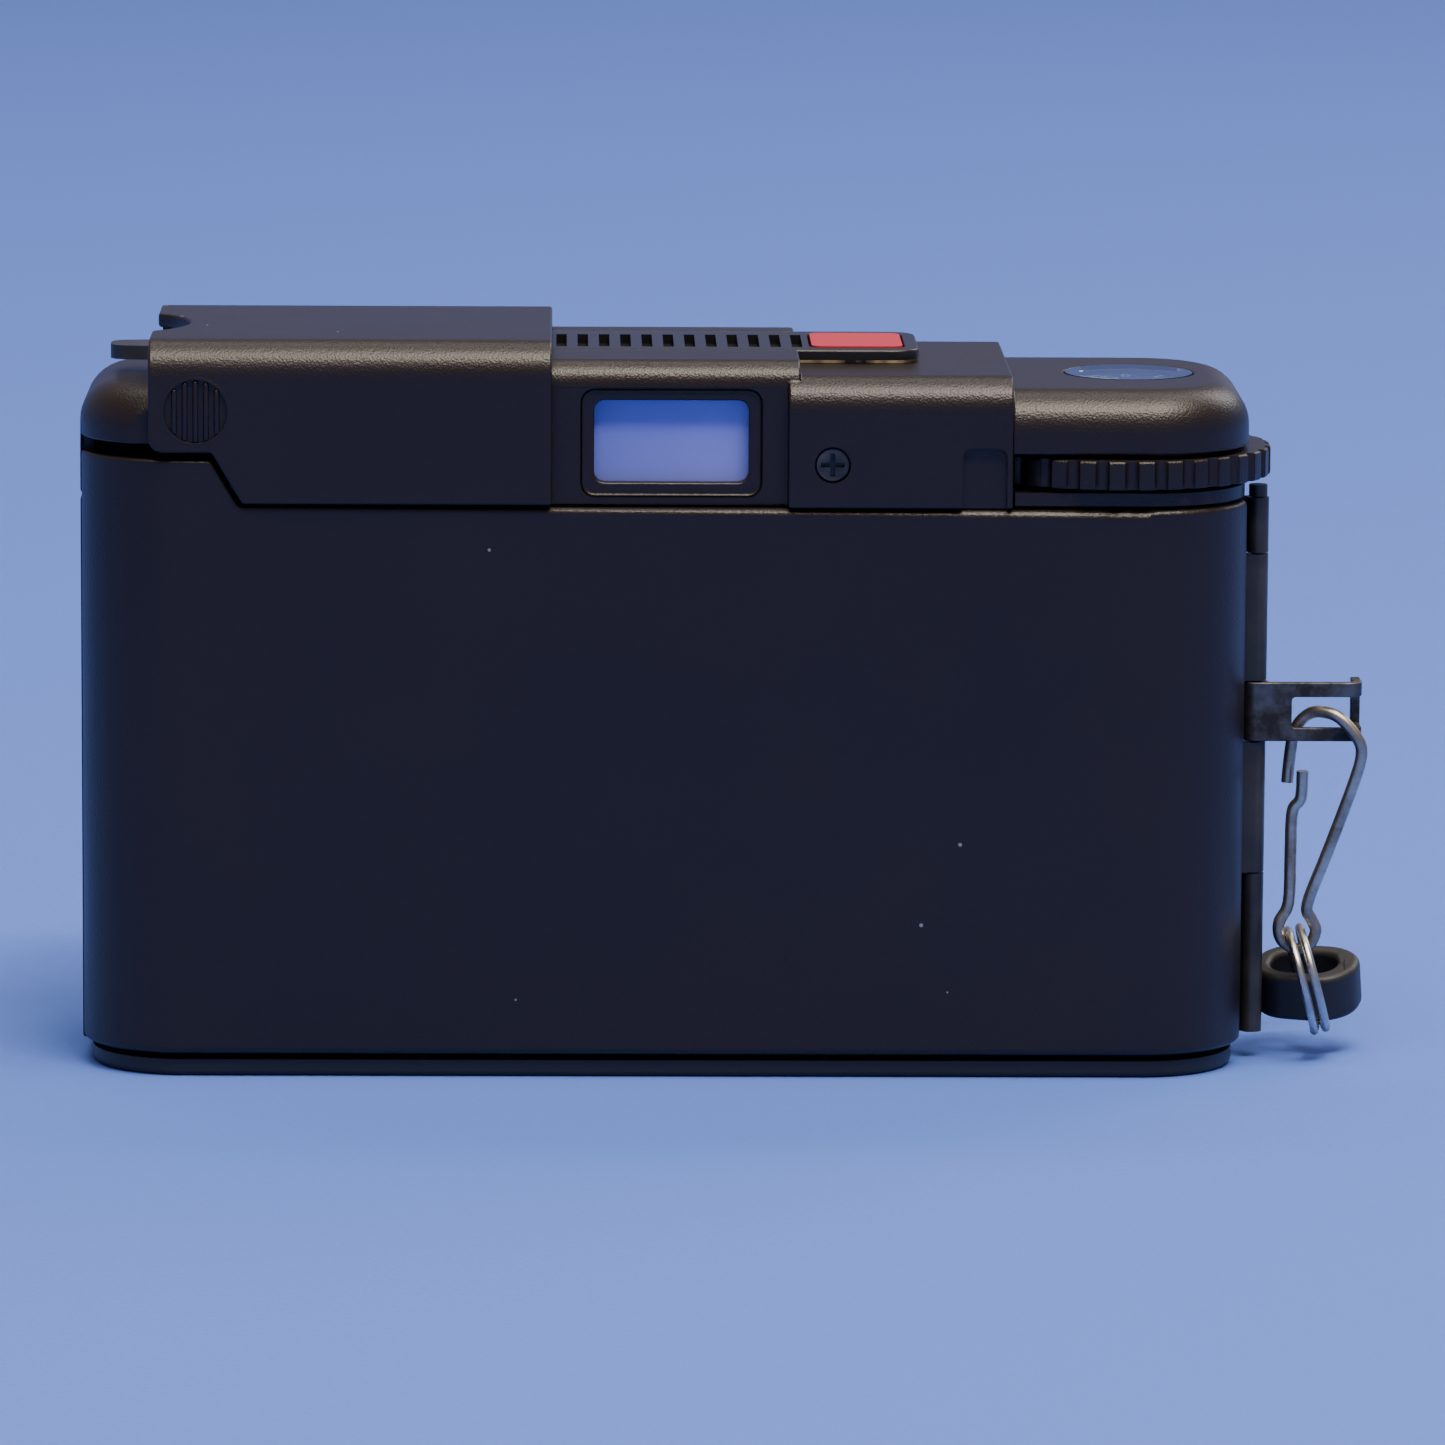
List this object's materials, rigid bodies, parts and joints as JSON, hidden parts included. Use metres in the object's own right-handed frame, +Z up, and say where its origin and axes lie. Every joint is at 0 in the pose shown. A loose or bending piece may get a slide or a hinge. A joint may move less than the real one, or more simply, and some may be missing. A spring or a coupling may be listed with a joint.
{
  "type": "compact film camera",
  "caption": "Pocket 35 mm film camera with a sliding clamshell cover, hinged back door, thumb-wheel film advance and a strap clip hanging from its hinge.",
  "frame": {"origin": "on the face that the camera stands on, under the middle of the body's width and depth", "axes": "+Z up, +Y towards the lens side, +X towards the hinge, on the right as seen from the back"},
  "size_m": [0.111, 0.0409, 0.0633],
  "materials": {
    "black_shell": "fine-grained satin black",
    "black_gloss": "smooth black",
    "inner_black": "matte black moulding",
    "blackened_metal": "black painted metal",
    "steel": "bright steel",
    "aged_brass": "tarnished spring wire",
    "bare_metal": "dark worn sheet metal",
    "red_button": "satin red",
    "glass": "clear",
    "mirror": "silvered",
    "board": "green laminate",
    "rubber_black": "smooth black rubber",
    "foam": "open foam",
    "dial_white": "printed dial",
    "screw_black": "blackened screw"
  },
  "bodies": {
    "root": {"chassis": "inner_black", "front_cover": "black_shell", "top_cover": "black_shell", "base_plate": "blackened_metal", "wheel_plate": "black_shell", "top_strip": "black_gloss", "hinge_leaf": "blackened_metal", "hinge_pin": "blackened_metal", "tripod_bush": "steel", "batteries": "steel", "circuit_board": "board", "release_switch": "inner_black", "viewfinder_tube": "inner_black", "viewfinder_lens": "glass", "eyepiece_lens": "glass", "beam_splitter": "glass", "rangefinder_window": "glass", "lens_barrel": "blackened_metal", "lens_bezel": "black_gloss", "lens_front": "glass", "lens_rear": "glass", "aperture_plate": "blackened_metal", "shutter_plate": "steel", "counter_window": "glass", "meter_window": "glass", "base_screws": "steel", "rear_screw": "screw_black", "lever_pivot": "steel"},
    "door": {"back_door": "black_shell", "door_leaf": "blackened_metal", "plate_spring": "steel", "light_seals": "foam", "latch_hook": "steel"},
    "film_plate": {"pressure_plate": "blackened_metal"},
    "cover": {"clamshell_cover": "black_shell"},
    "advance": {"thumb_wheel": "black_shell", "advance_shaft": "steel", "take_up_spool": "inner_black"},
    "idler": {"idler_gear": "aged_brass"},
    "sprocket": {"film_sprocket": "steel"},
    "counter": {"counter_dial": "dial_white"},
    "rewind": {"rewind_knob": "blackened_metal", "rewind_crank": "blackened_metal", "rewind_fork": "steel"},
    "release": {"shutter_release": "red_button"},
    "focus": {"focus_ring": "black_gloss"},
    "aperture": {"aperture_lever": "black_gloss"},
    "iso": {"iso_lever": "black_gloss"},
    "timer": {"self_timer_lever": "blackened_metal"},
    "rewind_release": {"rewind_button": "steel"},
    "battery_door": {"battery_cover": "steel"},
    "blade_left": {"shutter_blade_left": "blackened_metal"},
    "blade_right": {"shutter_blade_right": "blackened_metal"},
    "range_mirror": {"rangefinder_mirror": "mirror"},
    "latch": {"latch_bar": "steel"},
    "lug": {"strap_lug": "bare_metal"},
    "hook": {"snap_hook": "aged_brass"},
    "ring": {"split_ring": "steel"},
    "strap": {"strap_end": "rubber_black", "strap_rivet": "steel"}
  },
  "joints": [
    {"name": "back_door_hinge", "type": "hinge", "parent": "root", "child": "door", "pos_m": [0.051, -0.004, 0.0256], "axis": [0, 0, 1], "range_deg": [0, 95]},
    {"name": "film_plate_give", "type": "slide", "parent": "door", "child": "film_plate", "axis": [0, -1, 0], "range_m": [0, 0.0003], "stiffness_N_per_m": 400},
    {"name": "clamshell_slide", "type": "slide", "parent": "root", "child": "cover", "axis": [1, 0, 0], "range_m": [0, 0.02]},
    {"name": "thumb_wheel_turn", "type": "hinge", "parent": "root", "child": "advance", "pos_m": [0.0388, -0.0024, 0.0522], "axis": [0, 0, 1], "continuous": true},
    {"name": "idler_turn", "type": "hinge", "parent": "root", "child": "idler", "pos_m": [0.02938, -0.00045, 0.0036], "axis": [0, 0, 1], "continuous": true},
    {"name": "sprocket_turn", "type": "hinge", "parent": "root", "child": "sprocket", "pos_m": [0.0242, -0.0067, 0.0256], "axis": [0, 0, 1], "continuous": true},
    {"name": "counter_turn", "type": "hinge", "parent": "root", "child": "counter", "pos_m": [0.04, 0.0006, 0.0571], "axis": [0, 0, 1], "continuous": true},
    {"name": "rewind_turn", "type": "hinge", "parent": "root", "child": "rewind", "pos_m": [-0.0356, 0, 0.06], "axis": [0, 0, 1], "continuous": true},
    {"name": "release_press", "type": "slide", "parent": "root", "child": "release", "axis": [0, 0, -1], "range_m": [0, 0.0008], "stiffness_N_per_m": 300},
    {"name": "focus_turn", "type": "hinge", "parent": "root", "child": "focus", "pos_m": [0.0003, 0.0178, 0.0256], "axis": [0, 1, 0], "range_deg": [-20, 20]},
    {"name": "aperture_slide", "type": "slide", "parent": "root", "child": "aperture", "axis": [0, 0, -1], "range_m": [0, 0.007]},
    {"name": "iso_slide", "type": "slide", "parent": "root", "child": "iso", "axis": [1, 0, 0], "range_m": [0, 0.008]},
    {"name": "self_timer_swing", "type": "hinge", "parent": "root", "child": "timer", "pos_m": [-0.03, 0.0085, 0.0008], "axis": [0, 0, 1], "range_deg": [0, 90]},
    {"name": "rewind_release_press", "type": "slide", "parent": "root", "child": "rewind_release", "axis": [0, 0, 1], "range_m": [0, 0.0006], "stiffness_N_per_m": 200},
    {"name": "battery_cover_turn", "type": "hinge", "parent": "root", "child": "battery_door", "pos_m": [0.01, 0.004, 0.0008], "axis": [0, 0, 1], "range_deg": [0, 60]},
    {"name": "shutter_left_turn", "type": "hinge", "parent": "root", "child": "blade_left", "pos_m": [0.0003, 0.0045, 0.0328], "axis": [0, 1, 0], "range_deg": [0, 41]},
    {"name": "shutter_right_turn", "type": "hinge", "parent": "root", "child": "blade_right", "pos_m": [0.0003, 0.0045, 0.0328], "axis": [0, 1, 0], "range_deg": [-41, 0]},
    {"name": "range_mirror_turn", "type": "hinge", "parent": "root", "child": "range_mirror", "pos_m": [0.021, 0.0077, 0.0548], "axis": [0, 0, 1], "range_deg": [-1, 1]},
    {"name": "latch_lift", "type": "slide", "parent": "root", "child": "latch", "axis": [0, 0, 1], "range_m": [0, 0.0025], "stiffness_N_per_m": 60},
    {"name": "lug_swing", "type": "hinge", "parent": "root", "child": "lug", "pos_m": [0.051, -0.004, 0.0304], "axis": [0, 0, 1], "range_deg": [0, 43]},
    {"name": "hook_turn", "type": "hinge", "parent": "lug", "child": "hook", "pos_m": [0.0569, -0.00475, 0.03035], "axis": [0, 0, 1], "range_deg": [-43, 0]},
    {"name": "ring_swing", "type": "hinge", "parent": "hook", "child": "ring", "pos_m": [0.0548, -0.00475, 0.0102], "axis": [1, 0, 0], "range_deg": [-4, 4]},
    {"name": "strap_swing", "type": "hinge", "parent": "ring", "child": "strap", "pos_m": [0.0553, -0.0034, 0.0051], "axis": [1, 0, 0], "range_deg": [-3, 3]}
  ],
  "couplings": [
    {"joint": "idler_turn", "follows": "thumb_wheel_turn", "ratio": -1.1111},
    {"joint": "sprocket_turn", "follows": "thumb_wheel_turn", "ratio": 1.4286},
    {"joint": "counter_turn", "follows": "thumb_wheel_turn", "ratio": 0.03},
    {"joint": "shutter_right_turn", "follows": "shutter_left_turn", "ratio": -1},
    {"joint": "range_mirror_turn", "follows": "focus_turn", "ratio": 0.045},
    {"joint": "lug_swing", "follows": "back_door_hinge", "ratio": 0.45},
    {"joint": "hook_turn", "follows": "back_door_hinge", "ratio": -0.45}
  ]
}
